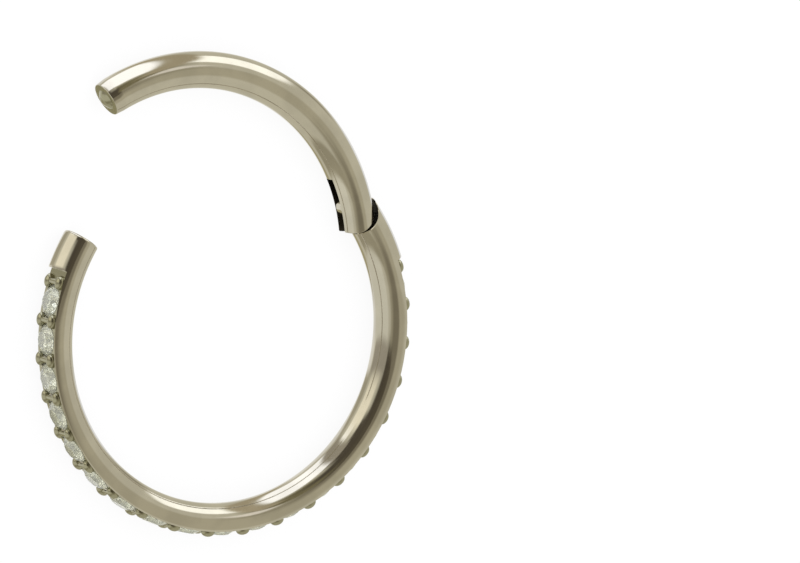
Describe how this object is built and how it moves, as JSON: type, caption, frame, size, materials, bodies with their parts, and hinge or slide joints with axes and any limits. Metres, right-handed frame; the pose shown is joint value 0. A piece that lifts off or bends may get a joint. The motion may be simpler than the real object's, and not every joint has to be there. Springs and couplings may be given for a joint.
{
  "type": "hinged piercing hoop",
  "caption": "Hinged segment hoop for a body piercing, polished wire with a row of clear stones round its outside, shown open and lying flat.",
  "frame": {"origin": "centre of the shut hoop, on its axis and at the middle of the wire's thickness", "axes": "+Z along the hoop's axis, up when it lies flat; +X through the stone row, with the hinge 58 degrees and the clasp 164 degrees counter-clockwise from it"},
  "size_m": [0.0134, 0.0153, 0.0012],
  "materials": {
    "steel": "polished surgical steel with a slightly warm tint",
    "stone": "clear round brilliants, facets polished"
  },
  "bodies": {
    "jewelled_half": {"jewelled_segment": "steel", "stone_01": "stone", "stone_02": "stone", "stone_03": "stone", "stone_04": "stone", "stone_05": "stone", "stone_06": "stone", "stone_07": "stone", "stone_08": "stone", "stone_09": "stone", "stone_10": "stone", "stone_11": "stone", "stone_12": "stone", "stone_13": "stone", "stone_14": "stone", "stone_15": "stone", "stone_16": "stone", "stone_17": "stone", "stone_18": "stone", "stone_19": "stone"},
    "gate": {"plain_segment": "steel", "hinge_pin": "steel"}
  },
  "joints": [
    {"name": "hinge", "type": "hinge", "parent": "jewelled_half", "child": "gate", "pos_m": [0.00313, 0.005, 0], "axis": [0, 0, 1], "range_deg": [-6, 27]}
  ]
}
